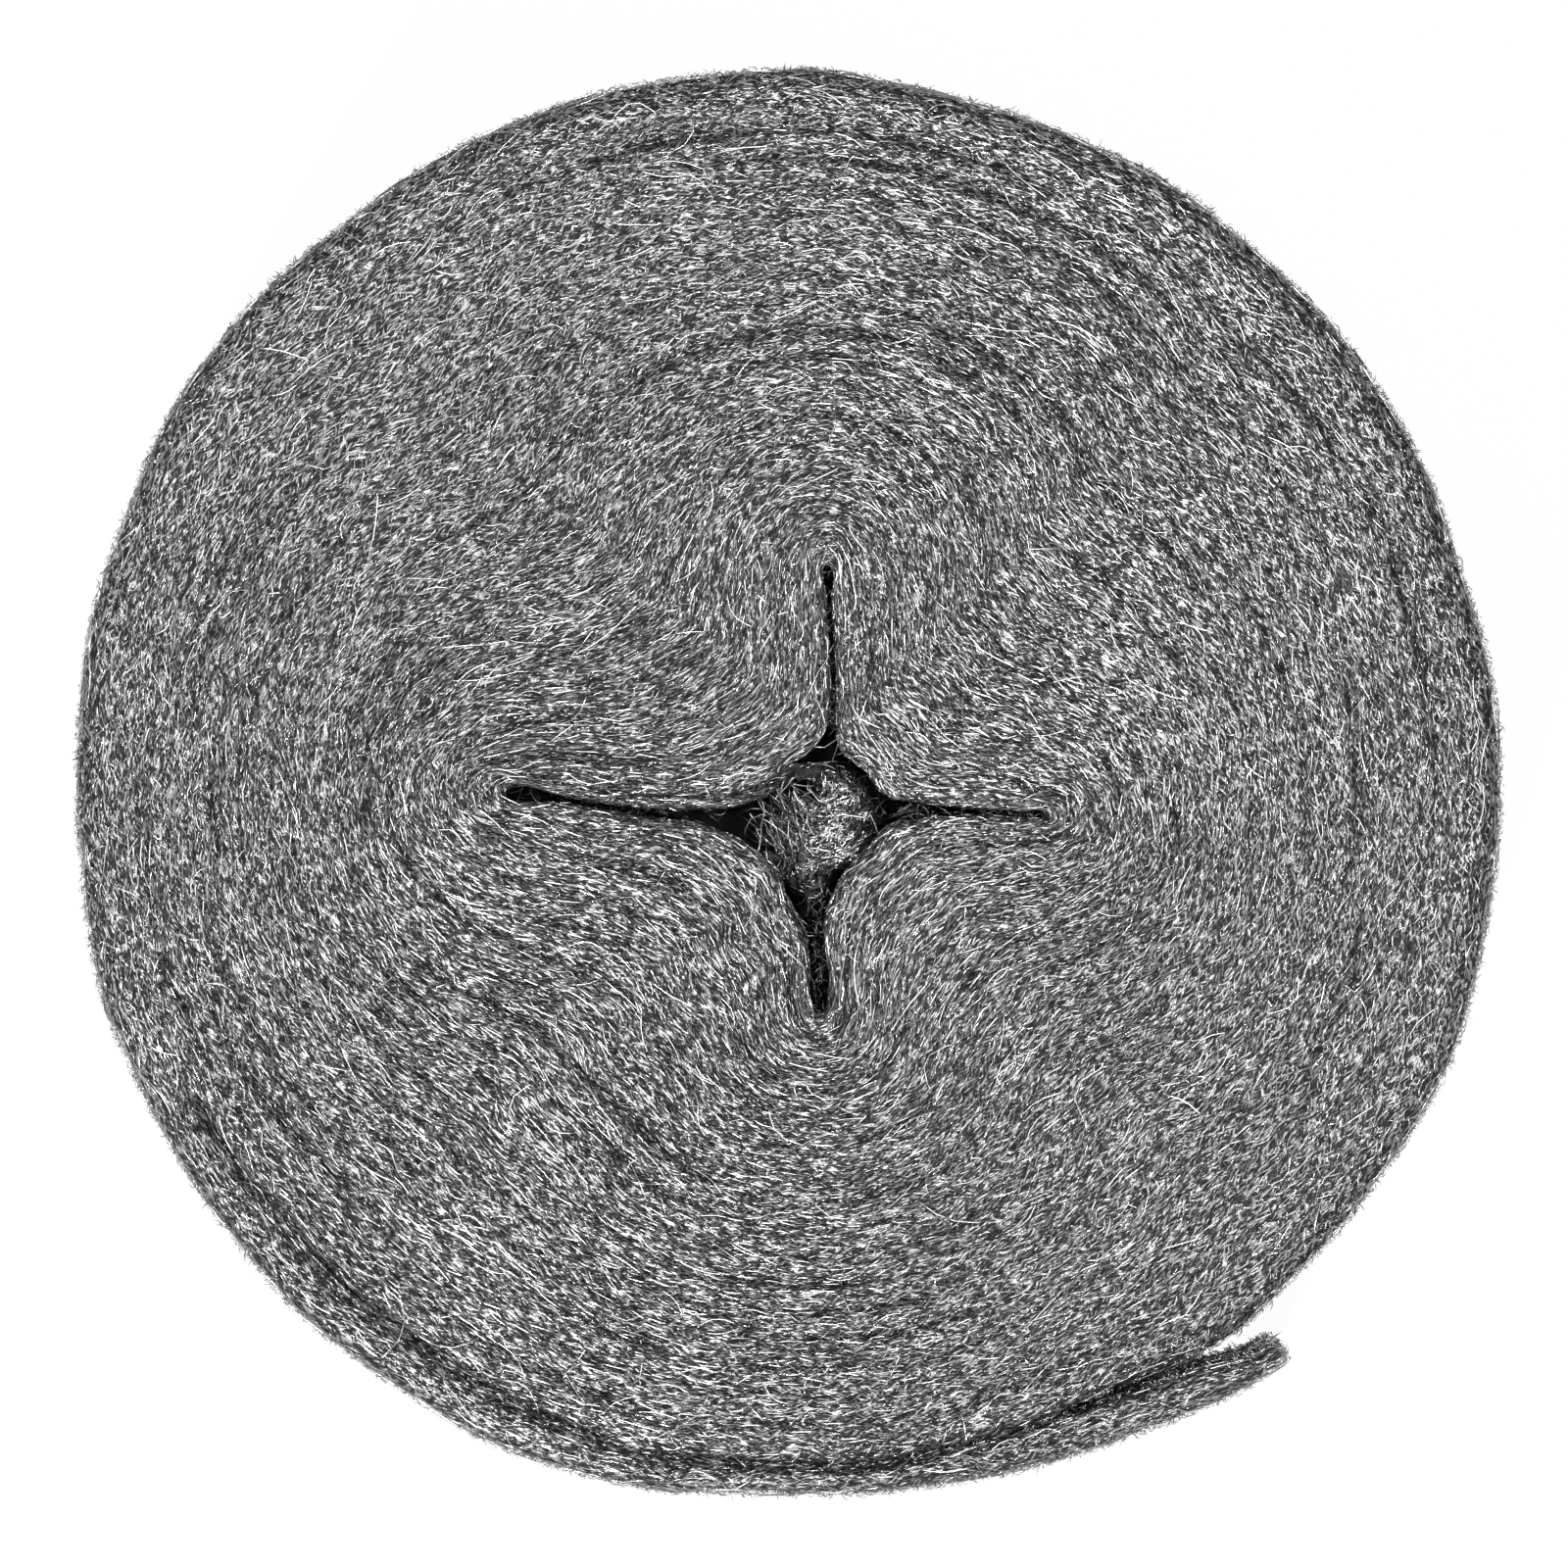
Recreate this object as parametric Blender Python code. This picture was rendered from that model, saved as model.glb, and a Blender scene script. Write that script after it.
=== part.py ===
"""A roll of steel wool: one long flat ribbon of fine strands, wound up and stood on its end.

All turns are one solid. Seen from above they fill the space between a slit star, where the
middle of the winding has sagged in, and the round outside. Every line between two turns is a
level of the same field: 0 on the wall of the star, 1 on the outside. The ribbon starts as a
bunched tuft inside the star and ends as a loose flap at the outside.

Plan positions are complex numbers, x + iy, and the turns run anticlockwise.
"""
import math

import bmesh
import bpy
import numpy as np

# Whole roll
ROLL_DIAMETER = 0.110
ROLL_HEIGHT = 0.100
WHOLE_TURNS = 16              # turns between the start of the ribbon and the root of its flap
FLARE = 0.0005                # the outside stands out a little on the lower left
FLARE_ANGLE = 235.0

# Star-shaped hollow: one slit each to the right, the back, the left and the front
STAR_CENTRE = 0.0034 - 0.0018j
SLIT_LENGTHS = (0.0170, 0.0188, 0.0251, 0.0162)
SLIT_TILTS = (-0.0008, 0.0, -0.0009, -0.0006)      # sideways run of each slit's tip
SLIT_BENDS = (0.0, -0.0004, 0.0011, -0.0006)       # sideways bow of each slit's middle
SLIT_SQUEEZES = (1.0, 1.0, 0.75, 0.25)             # 1 keeps a slit as narrow up to its mouth
MOUTH_INNER, MOUTH_OUTER = 0.12, 0.30              # a slit's mouth, in shares of its length
KEYHOLES = (0.0003, 0.0004, 0.0006, 0.0006)        # extra half width near each slit's tip
KEYHOLE_SPANS = (22.0, 22.0, 20.0, 40.0)           # how far that widening runs, in degrees
LOBE_SETBACKS = (0.0006, -0.0006, 0.0026, 0.0012)  # corners between the slits, from back right
LOBE_POWER = 60.0                                  # higher keeps a setback nearer its corner
SHARPNESS = 0.93                                   # 0 is a circle, towards 1 the slits close

# Winding
START_ANGLE = 135.0
START_THICKNESS = 0.3         # of a turn's pitch, where the ribbon leaves the tuft
NOOK_SPAN = 5.0               # degrees over which the star's wall steps back behind the tuft
BACK_STEP = 0.75              # of a pitch: the drop of the outside under the flap's end
BACK_SLACK = 0.6              # of a pitch: the last turn grows this much thicker on the left
BULGE = 0.0008                # the outside swells beyond the flap's end

# Loose flap at the ribbon's outer end
FLAP_ROOT = 285.0
FLAP_TIP = 311.0
FLAP_LIFT = 0.0044            # the tip stands this far out of the round
LIFT_START = 43.0             # degrees before the tip where the ribbon begins to lift
FLAP_THICKNESS = 0.0027
FLAP_TIP_THICKNESS = 0.0012
FLAP_COLUMNS = 7

# Tuft in the star: plan points of the ribbon's start, seen from the star's centre, with the
# half width of the bunch and its depth below the end face
TUFT = (
    (-0.0013 - 0.0068j, 0.0008, 0.0062),
    (-0.0016 - 0.0045j, 0.0017, 0.0044),
    (-0.0006 - 0.0023j, 0.0025, 0.0036),
    (0.0008 - 0.0004j, 0.0022, 0.0034),
    (0.0007 + 0.0014j, 0.0014, 0.0044),
    (-0.0005 + 0.0026j, 0.0008, 0.0054),
)
TUFT_COLUMNS = 14
TUFT_CROWN = 0.0012           # the bunch is domed by this much
ENTRY_COLUMNS = 5             # the ribbon climbs from the tuft to the end face over these

# End faces
GROOVE_DEPTH = 0.0009         # between two turns
SLIT_EDGE_DROP = 0.0015       # rounding along the star
SLIT_CROWN_DROP = 0.0004
RIM_EDGE_DROP = 0.0020        # rounding along the outside
RIM_CROWN_DROP = 0.0004
CROWN_SHARES = (0.25, 0.75)   # the flat crown of a turn lies between these shares of its width

# Mesh columns of a quarter turn, in degrees from the slit's own direction
COLUMN_OFFSETS = (-44, -42, -38, -30, -20, -8, 0, 8, 20, 30, 38, 42, 44, 45)
FIELD_ANGLES = 240
FIELD_STEPS = 41
FIELD_SMOOTHING = 7.0         # degrees over which the turn lines are rounded
SHARP_ANGLE = 40.0


def smooth_step(x):
    """Rise from 0 to 1 with level ends while x goes from 0 to 1."""
    x = np.clip(x, 0.0, 1.0)
    return x * x * (3.0 - 2.0 * x)


def star_wall(angle):
    """Plan of the hollow: e^(ia) sqrt(1 + s e^(-4ia)), which is a four-pointed star whose
    points narrow to slits as s nears 1, with every point at its own length, tilt and bow. A
    slit's half width falls with the distance from the centre, and the squeeze multiplies it
    by that distance beyond the mouth, which makes the lobes between the slits round."""
    star = np.exp(1j * angle) * np.sqrt(1.0 + SHARPNESS * np.exp(-4j * angle))
    star = star / math.sqrt(1.0 + SHARPNESS)
    mean = sum(SLIT_LENGTHS) / 4.0
    reach = np.full(angle.shape, mean)
    for quarter, length in enumerate(SLIT_LENGTHS):
        facing = np.clip(np.cos(angle - quarter * math.pi / 2.0), 0.0, None)
        reach = reach + (length - mean) * facing ** 4
    wall = star * reach
    for quarter, length in enumerate(SLIT_LENGTHS):
        ahead = 1j ** quarter
        off = (angle - quarter * math.pi / 2.0 + math.pi) % (2.0 * math.pi) - math.pi
        local = wall * ahead.conjugate()
        along = np.clip(local.real / length, 0.0, 1.0)
        beyond = smooth_step((along - MOUTH_INNER) / (MOUTH_OUTER - MOUTH_INNER))
        window = np.where(np.abs(off) < math.pi / 4.0, beyond, 0.0)
        aside = SLIT_TILTS[quarter] * along
        aside = aside + SLIT_BENDS[quarter] * np.sin(math.pi * along) ** 2
        aside = aside - SLIT_SQUEEZES[quarter] * (1.0 - along) * local.imag
        span = math.radians(KEYHOLE_SPANS[quarter])
        widening = np.where(np.abs(off) < span, np.sin(math.pi * off / span), 0.0)
        wall = wall + 1j * ahead * (window * aside + KEYHOLES[quarter] * widening)
        lobe = angle - (quarter + 0.5) * math.pi / 2.0
        corner = np.where(np.cos(lobe) > 0.0, np.clip(np.cos(2.0 * lobe), 0.0, None), 0.0)
        wall = wall + LOBE_SETBACKS[quarter] * corner ** LOBE_POWER * np.exp(1j * angle)
    return STAR_CENTRE + wall


def outside(angle):
    """Plan of the outside: a circle with a slight flare."""
    toward = np.clip(np.cos(angle - math.radians(FLARE_ANGLE)), 0.0, None)
    return (ROLL_DIAMETER / 2.0 + FLARE * toward ** 8) * np.exp(1j * angle)


def winding_field():
    """Share of the way from the star to the outside, for each angle and level.

    On each straight line from the wall to the outside, the level of a point is its distance
    from the star over the sum of its distances from the star and from the outside. The table
    turns that round, and is smoothed along the angle so that the turns have no corners."""
    angles = np.arange(FIELD_ANGLES) * 2.0 * math.pi / FIELD_ANGLES
    steps = np.linspace(0.0, 1.0, FIELD_STEPS)
    wall, rim = star_wall(angles), outside(angles)
    lines = wall[:, None] + (rim - wall)[:, None] * steps
    from_star = np.abs(lines[:, :, None] - wall).min(axis=2)
    from_rim = np.clip(ROLL_DIAMETER / 2.0 - np.abs(lines), 0.0, None)
    level = from_star / (from_star + from_rim + 1e-12)
    level[:, -1] = 1.0
    level = np.maximum.accumulate(level, axis=1)
    share = np.array([np.interp(steps, row, steps) for row in level])
    waves = np.fft.fftfreq(FIELD_ANGLES, 1.0 / FIELD_ANGLES)
    damping = np.exp(-0.5 * (waves * math.radians(FIELD_SMOOTHING)) ** 2)
    return np.fft.ifft(np.fft.fft(share, axis=0) * damping[:, None], axis=0).real


def place(field, angle, level):
    """Plan position on a level line, from the table by straight interpolation both ways."""
    turn = (angle / (2.0 * math.pi) % 1.0) * FIELD_ANGLES
    column = np.floor(turn).astype(int)
    row = np.clip(level, 0.0, 1.0) * (FIELD_STEPS - 1)
    step = np.minimum(np.floor(row).astype(int), FIELD_STEPS - 2)
    turn, row = turn - column, row - step
    here, there = column % FIELD_ANGLES, (column + 1) % FIELD_ANGLES
    share = (1.0 - turn) * ((1.0 - row) * field[here, step] + row * field[here, step + 1])
    share = share + turn * ((1.0 - row) * field[there, step] + row * field[there, step + 1])
    wall = star_wall(angle)
    return wall + (outside(angle) - wall) * share


def pitches_below_rim(back):
    """Pitches between a turn's outer line and level 1, by the degrees back from the flap's
    tip: none round the outside, a step down under the flap, then one for every turn."""
    under = 360.0 - (FLAP_TIP - FLAP_ROOT) / 20.0
    step = BACK_STEP * smooth_step((back - under) / 16.0)
    slack = BACK_SLACK * smooth_step((back - under - 26.0) / 100.0)
    return step + slack + np.clip(back - under - 26.0, 0.0, None) / 360.0


def turn_levels(run):
    """Level of the ribbon's outer line, by the degrees run from its start."""
    end = WHOLE_TURNS * 360.0 + FLAP_TIP - START_ANGLE
    pitch = 1.0 / (pitches_below_rim(np.array([end]))[0] + START_THICKNESS)
    wound = 1.0 - pitch * pitches_below_rim(end - run)
    nook = pitch * START_THICKNESS * smooth_step(1.0 + run / NOOK_SPAN)
    return np.where(run < 0.0, nook, wound)


def column_runs():
    """Degrees run at every mesh column, from one turn before the start to the flap's root."""
    quarter = np.array(COLUMN_OFFSETS, dtype=float)
    turn = np.concatenate([quarter + 90.0 * i for i in range(4)])
    turns = np.concatenate([turn + 360.0 * i for i in range(-1, WHOLE_TURNS + 3)])
    runs = turns - START_ANGLE
    last = WHOLE_TURNS * 360.0 + FLAP_ROOT - START_ANGLE
    return runs[(runs > -360.001) & (runs < last + 0.001)]


def edge_lines(field, runs):
    """Plan of every line between turns, one point to a column, and its drop from the end
    face. The first turn of points is the wall of the star."""
    angle = np.radians(runs + START_ANGLE)
    points = place(field, angle, turn_levels(runs))
    end = WHOLE_TURNS * 360.0 + FLAP_TIP - START_ANGLE
    back = end - runs
    swell = BULGE * np.exp(-((back - 337.0) / 16.0) ** 2)
    lift = FLAP_LIFT * np.clip(1.0 - back / LIFT_START, 0.0, None) ** 1.7
    points = points + (swell + lift) * np.exp(1j * angle)
    drop = np.full(runs.shape, GROOVE_DEPTH)
    drop[runs < 0.0] = SLIT_EDGE_DROP
    drop[back < 360.0 + FLAP_TIP - FLAP_ROOT] = RIM_EDGE_DROP
    return points, drop


def flap_columns(field):
    """Inner and outer plan lines of the loose flap, beyond its root."""
    share = np.linspace(0.0, 1.0, FLAP_COLUMNS + 1)[1:]
    degrees = FLAP_ROOT + (FLAP_TIP - FLAP_ROOT) * share
    angle = np.radians(degrees)
    lift = FLAP_LIFT * (1.0 - (FLAP_TIP - degrees) / LIFT_START) ** 1.7
    outer = outside(angle) + lift * np.exp(1j * angle)
    root = 0.82 * FLAP_THICKNESS
    thick = root + (FLAP_THICKNESS - root) * smooth_step(share * 2.0)
    thick = thick - (FLAP_THICKNESS - FLAP_TIP_THICKNESS) * smooth_step((share - 0.7) / 0.3)
    return outer - thick * np.exp(1j * angle), outer


def tuft_columns():
    """Inner and outer plan lines of the bunched start, with the depth of its top, from the
    free end to the wall of the star: a smooth curve through the chosen points."""
    knots = np.array([[p.real, p.imag, half, depth] for p, half, depth in TUFT])
    count = len(knots)
    padded = np.vstack([2.0 * knots[0] - knots[1], knots, 2.0 * knots[-1] - knots[-2]])
    t = np.linspace(0.0, count - 1.0, TUFT_COLUMNS)
    k = np.minimum(t.astype(int), count - 2)
    f = (t - k)[:, None]
    p0, p1, p2, p3 = (padded[k + i] for i in range(4))
    curve = 0.5 * (2.0 * p1 + (p2 - p0) * f + (2.0 * p0 - 5.0 * p1 + 4.0 * p2 - p3) * f ** 2
                   + (3.0 * p1 - p0 - 3.0 * p2 + p3) * f ** 3)
    middle = STAR_CENTRE + curve[:, 0] + 1j * curve[:, 1]
    ahead = np.gradient(middle)
    left = 1j * ahead / np.abs(ahead) * curve[:, 2]
    return middle + left, middle - left, curve[:, 3]


class Roll:
    """Collects plan points with their drop from both end faces, and the faces over them."""

    def __init__(self):
        self.plan, self.drops, self.quads = [], [], []

    def add(self, points, drops):
        """Add plan points and return their numbers."""
        first = len(self.plan)
        self.plan += list(points)
        self.drops += list(drops)
        return list(range(first, len(self.plan)))

    def band(self, rows):
        """Both end faces between rows of points that run from the inner to the outer line."""
        for row, after in zip(rows, rows[1:]):
            for j in range(len(row) - 1):
                a, b, c, d = row[j], row[j + 1], after[j + 1], after[j]
                self.quads.append([(a, 1), (b, 1), (c, 1), (d, 1)])
                self.quads.append([(d, 0), (c, 0), (b, 0), (a, 0)])

    def wall(self, loop, outward):
        """Upright faces along a closed loop of points that runs anticlockwise."""
        for a, b in zip(loop, loop[1:] + loop[:1]):
            quad = [(a, 0), (b, 0), (b, 1), (a, 1)]
            self.quads.append(quad if outward else quad[::-1])

    def mesh(self, name):
        """The closed mesh: each plan point has one vertex below and one above."""
        verts = []
        for point, drop in zip(self.plan, self.drops):
            verts.append((point.real, point.imag, drop))
            verts.append((point.real, point.imag, ROLL_HEIGHT - drop))
        faces = [[2 * i + top for i, top in quad] for quad in self.quads]
        mesh = bpy.data.meshes.new(name)
        mesh.from_pydata(verts, [], faces)
        return mesh


def build_turns(field):
    """The whole ribbon as one closed mesh."""
    roll = Roll()
    runs = column_runs()
    around = 4 * len(COLUMN_OFFSETS)
    points, drops = edge_lines(field, runs)
    edges = roll.add(points, drops)
    columns = len(edges) - around

    def crowns(inner, outer, drop):
        return roll.add([inner + (outer - inner) * s for s in CROWN_SHARES], drop)

    inner, outer, depth = tuft_columns()
    tuft = []
    for a, b, d in zip(inner, outer, depth):
        ends = roll.add([a, b], [d + TUFT_CROWN, d + TUFT_CROWN])
        tuft.append([ends[0], *crowns(a, b, (d, d)), ends[1]])

    wound = []
    for i in range(columns):
        drop = [0.0, 0.0]
        if i < around:
            climb = depth[-1] * (1.0 - smooth_step(i / ENTRY_COLUMNS))
            drop = [SLIT_CROWN_DROP + climb, climb]
        if i >= columns - around:
            drop[1] = max(drop[1], RIM_CROWN_DROP)
        a, b = edges[i], edges[i + around]
        wound.append([a, *crowns(points[i], points[i + around], drop), b])

    inner, outer = flap_columns(field)
    flap = []
    for a, b in zip(inner, outer):
        ends = roll.add([a, b], [RIM_EDGE_DROP, RIM_EDGE_DROP])
        flap.append([ends[0], *crowns(a, b, (RIM_CROWN_DROP, RIM_CROWN_DROP)), ends[1]])

    roll.band(tuft + wound + flap)
    star = edges[:around + 1]
    star += [row[-1] for row in tuft[::-1]] + tuft[0][2:0:-1] + [row[0] for row in tuft]
    roll.wall(star, outward=False)
    skin = edges[columns - 1:]
    skin += [row[-1] for row in flap] + flap[-1][2:0:-1] + [row[0] for row in flap[::-1]]
    roll.wall(skin, outward=True)
    return roll.mesh("wool_roll")


def steel_wool():
    """Fine bright steel strands that scatter light, grey as a whole."""
    material = bpy.data.materials.new("steel_wool")
    material.use_nodes = True
    shader = material.node_tree.nodes["Principled BSDF"]
    shader.inputs["Base Color"].default_value = (0.30, 0.30, 0.31, 1.0)
    shader.inputs["Metallic"].default_value = 0.85
    shader.inputs["Roughness"].default_value = 0.45
    return material


def main():
    for thing in list(bpy.data.objects):
        bpy.data.objects.remove(thing, do_unlink=True)
    mesh = build_turns(winding_field())
    form = bmesh.new()
    form.from_mesh(mesh)
    for face in form.faces:
        face.smooth = True
    for edge in form.edges:
        edge.smooth = edge.calc_face_angle(0.0) < math.radians(SHARP_ANGLE)
    form.to_mesh(mesh)
    form.free()
    mesh.materials.append(steel_wool())
    roll = bpy.data.objects.new("wool_roll", mesh)
    bpy.context.scene.collection.objects.link(roll)


main()
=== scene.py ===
"""Steel wool roll, standing on its end and seen from straight above.

The wound ribbon is one dense mesh in place of the plain solid, with the loose strands of its
end faces, its outside, its flap and its tuft laid on it one by one. Plan positions are
complex numbers, x + iy, in metres, and the turns run anticlockwise as in the solid.
"""
import math

import bpy
import numpy as np
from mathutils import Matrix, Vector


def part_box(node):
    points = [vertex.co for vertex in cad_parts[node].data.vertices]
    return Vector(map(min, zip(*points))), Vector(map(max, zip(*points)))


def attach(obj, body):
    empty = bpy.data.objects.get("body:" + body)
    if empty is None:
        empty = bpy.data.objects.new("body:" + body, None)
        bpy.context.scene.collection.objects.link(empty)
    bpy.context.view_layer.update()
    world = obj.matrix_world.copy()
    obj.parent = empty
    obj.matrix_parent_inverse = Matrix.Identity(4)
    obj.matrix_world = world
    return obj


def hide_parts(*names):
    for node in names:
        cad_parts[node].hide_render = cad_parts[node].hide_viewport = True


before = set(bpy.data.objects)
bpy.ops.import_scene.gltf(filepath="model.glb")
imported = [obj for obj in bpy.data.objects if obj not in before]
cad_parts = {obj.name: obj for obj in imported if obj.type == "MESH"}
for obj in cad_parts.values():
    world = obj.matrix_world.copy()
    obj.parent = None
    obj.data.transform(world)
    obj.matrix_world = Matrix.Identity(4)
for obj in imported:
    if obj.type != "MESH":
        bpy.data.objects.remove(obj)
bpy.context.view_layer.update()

# The wound ribbon. The real one is a long flat mat of fine steel strands, wound up by hand:
# its middle has sagged into a four-pointed star, and its outer end stands off as a flap. It
# is one dense surface over both end faces, the wall of the star and the outside.

roll_low, roll_high = (np.array(corner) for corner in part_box("wool_roll"))
ROLL_RADIUS = roll_high[1]                         # the flare and the flap don't reach +Y
WHOLE_TURNS = 16
FLARE = 0.0005
FLARE_ANGLE = 235.0
OUTLINE_WAVES = (             # made up: waves in a round, height, phase
    (3, 0.00020, 1.0), (7, 0.00016, 2.3), (13, 0.00012, 0.7), (23, 0.00008, 4.1))

STAR_CENTRE = 0.0034 - 0.0018j
SLIT_LENGTHS = (0.0170, 0.0188, 0.0251, 0.0162)    # to the right, the back, the left, the front
SLIT_TILTS = (-0.0008, 0.0, -0.0009, -0.0006)
SLIT_BENDS = (0.0, -0.0004, 0.0011, -0.0006)
SLIT_SQUEEZES = (1.0, 1.0, 0.75, 0.25)
MOUTH_INNER, MOUTH_OUTER = 0.12, 0.30              # a slit's mouth, in shares of its length
KEYHOLES = (0.0003, 0.0004, 0.0006, 0.0006)
KEYHOLE_SPANS = (22.0, 22.0, 20.0, 40.0)
LOBE_SETBACKS = (0.0006, -0.0006, 0.0026, 0.0012)
LOBE_POWER = 60.0
SHARPNESS = 0.93

START_ANGLE = 135.0
START_THICKNESS = 0.3         # pitches
NOOK_SPAN = 5.0               # degrees, over which the line before the start swells to that
BACK_STEP = 0.75              # pitches that the turns step inwards under the flap's tip
BACK_STEP_SPAN = 16.0
BACK_SLACK = 0.6              # pitches that they sink further in behind that step
BACK_SLACK_SPAN = 100.0
BACK_EVEN = 26.0              # degrees past the tip, from where they are a pitch apart
BULGE = 0.0008                # of the turn beside the flap
BULGE_BACK, BULGE_SPAN = 337.0, 16.0

FLAP_ROOT = 285.0
FLAP_TIP = 311.0
FLAP_LIFT = 0.0044
LIFT_START = 43.0
LIFT_POWER = 1.7
FLAP_THICKNESS = 0.0027
FLAP_ROOT_SHARE = 0.82        # of that thickness, where the flap comes loose
FLAP_TIP_THICKNESS = 0.0012
LAST_WOUND = WHOLE_TURNS * 360.0 + FLAP_ROOT - START_ANGLE  # degrees run at the flap's root
LAST_RUN = LAST_WOUND + FLAP_TIP - FLAP_ROOT                # and at its tip

TUFT = (                      # plan from the star's centre, half width, depth of its top
    (-0.0013 - 0.0068j, 0.0008, 0.0062),
    (-0.0016 - 0.0045j, 0.0017, 0.0044),
    (-0.0006 - 0.0023j, 0.0025, 0.0036),
    (0.0008 - 0.0004j, 0.0022, 0.0034),
    (0.0007 + 0.0014j, 0.0014, 0.0044),
    (-0.0005 + 0.0026j, 0.0008, 0.0054),
)
TUFT_CROWN = 0.0012
TUFT_LUMP = 0.0011
ENTRY_LENGTH = 0.005          # of ribbon, over which it climbs from the tuft to the end face

SLIT_EDGE_DROP = 0.0009       # how far the end face sinks along the star
RIM_EDGE_DROP = 0.0018        # along the outside
FLAP_EDGE_DROP = 0.0007       # and along the flap's inner side
GROOVE_DEPTH = 0.0005         # a usual line between two turns
GROOVE_EXTRA = 0.0010         # what the deepest of the usual lines add
GROOVE_STRETCH = 26.0         # degrees from a shallow stretch to a deep one
SEAM_FADE = 18.0              # degrees, over which a gaping line begins and ends
LUMPS = 0.00035               # height of the clumps on an end face
CLUMP_LENGTH, CLUMP_ROWS = 0.0060, 5.0             # length of a clump, and clumps across a turn
FINE_LENGTH, FINE_ROWS = 0.0015, 9.0
SAG = 0.0005                  # slow waves of an end face
SAG_SIZE = 0.013
SKIN_LUMPS = 0.00045          # height of the clumps on the outside
SKIN_FINE, SKIN_COARSE = (0.005, 0.0019), (0.016, 0.006)   # their sizes along and up
WALL_SHARE = 0.2              # of their height, on the star's walls
FRAYING = 0.0006              # how far the outside stands off in places near both ends
FRAYED_SIZE = (0.0035, 0.03)
FRAYED_DEPTH = 0.005          # from the end, by which most of that is gone

SEAMS = (                     # gaping turn lines: pitches below the rim, from, to, depth
    (1.0, 190.0, 262.0, 0.0015),
    (1.0, 250.0, 300.0, 0.0018),
    (2.1, 60.0, 118.0, 0.0008),
    (1.2, 340.0, 400.0, 0.0012),
    (2.3, 350.0, 395.0, 0.0009),
    (8.4, 92.0, 150.0, 0.0009),
)

QUARTER_COLUMNS = 60
CORNER_CROWDING = 0.85        # 0 spaces the columns evenly, 1 crowds them most at the lobes
FLAP_COLUMNS = 22
TUFT_COLUMNS = 40
ACROSS = np.array([0.0, 0.12, 0.3, 0.5, 0.7, 0.88, 1.0])
WITHIN = 0.999999             # keeps the last share across on its own turn
TURN_STEP = 0.011             # how far the pattern moves on from each turn to the next
WALL_ROWS = 20
SKIN_ROWS = 40
FIELD_ANGLES = 240
FIELD_STEPS = 41
FIELD_SMOOTHING = 7.0

MAT_STRANDS = (               # turned by, length and width in millimetres, seed
    (0.0, 1.5, 0.19, 3.1), (19.0, 1.2, 0.17, 8.4), (-24.0, 1.0, 0.17, 14.9))
MAT_CLUMP = (9.0, 0.45)       # length and width in millimetres
# the mat's dark end is painted shade of the depth between and under the loose strands
MAT_PAINTED_SHADE, MAT_BRIGHT = 0.028, 0.44


def smooth_step(x):
    """Rise from 0 to 1 with level ends while x goes from 0 to 1."""
    x = np.clip(x, 0.0, 1.0)
    return x * x * (3.0 - 2.0 * x)


def noise(x, y, seed):
    """Random numbers from 0 to 1 on a whole-number grid, blended by smooth steps between."""
    x, y = np.broadcast_arrays(np.asarray(x, float), np.asarray(y, float))
    column, row = np.floor(x).astype(np.int64), np.floor(y).astype(np.int64)
    along, up = smooth_step(x - column), smooth_step(y - row)

    def corner(i, j):
        mixed = (i * 374761393 + j * 668265263 + seed * 974634777) & 0xFFFFFFFF
        mixed = ((mixed ^ (mixed >> 13)) * 1274126177) & 0xFFFFFFFF
        return ((mixed ^ (mixed >> 16)) & 0xFFFF) / 65535.0

    lower = corner(column, row) * (1.0 - along) + corner(column + 1, row) * along
    upper = corner(column, row + 1) * (1.0 - along) + corner(column + 1, row + 1) * along
    return lower * (1.0 - up) + upper * up


def star_wall(angle):
    """Plan of the hollow: e^(ia) sqrt(1 + s e^(-4ia)), a star whose points narrow to slits as
    s nears 1, with each slit at its own length, tilt, bow, squeeze and keyhole."""
    star = np.exp(1j * angle) * np.sqrt(1.0 + SHARPNESS * np.exp(-4j * angle))
    star = star / math.sqrt(1.0 + SHARPNESS)
    mean = sum(SLIT_LENGTHS) / 4.0
    reach = np.full(angle.shape, mean)
    for quarter, length in enumerate(SLIT_LENGTHS):
        facing = np.clip(np.cos(angle - quarter * math.pi / 2.0), 0.0, None)
        reach = reach + (length - mean) * facing ** 4
    wall = star * reach
    for quarter, length in enumerate(SLIT_LENGTHS):
        ahead = 1j ** quarter
        off = (angle - quarter * math.pi / 2.0 + math.pi) % (2.0 * math.pi) - math.pi
        local = wall * ahead.conjugate()
        along = np.clip(local.real / length, 0.0, 1.0)
        beyond = smooth_step((along - MOUTH_INNER) / (MOUTH_OUTER - MOUTH_INNER))
        window = np.where(np.abs(off) < math.pi / 4.0, beyond, 0.0)
        aside = SLIT_TILTS[quarter] * along
        aside = aside + SLIT_BENDS[quarter] * np.sin(math.pi * along) ** 2
        aside = aside - SLIT_SQUEEZES[quarter] * (1.0 - along) * local.imag
        span = math.radians(KEYHOLE_SPANS[quarter])
        widening = np.where(np.abs(off) < span, np.sin(math.pi * off / span), 0.0)
        wall = wall + 1j * ahead * (window * aside + KEYHOLES[quarter] * widening)
        lobe = angle - (quarter + 0.5) * math.pi / 2.0
        corner = np.where(np.cos(lobe) > 0.0, np.clip(np.cos(2.0 * lobe), 0.0, None), 0.0)
        wall = wall + LOBE_SETBACKS[quarter] * corner ** LOBE_POWER * np.exp(1j * angle)
    return STAR_CENTRE + wall


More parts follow.
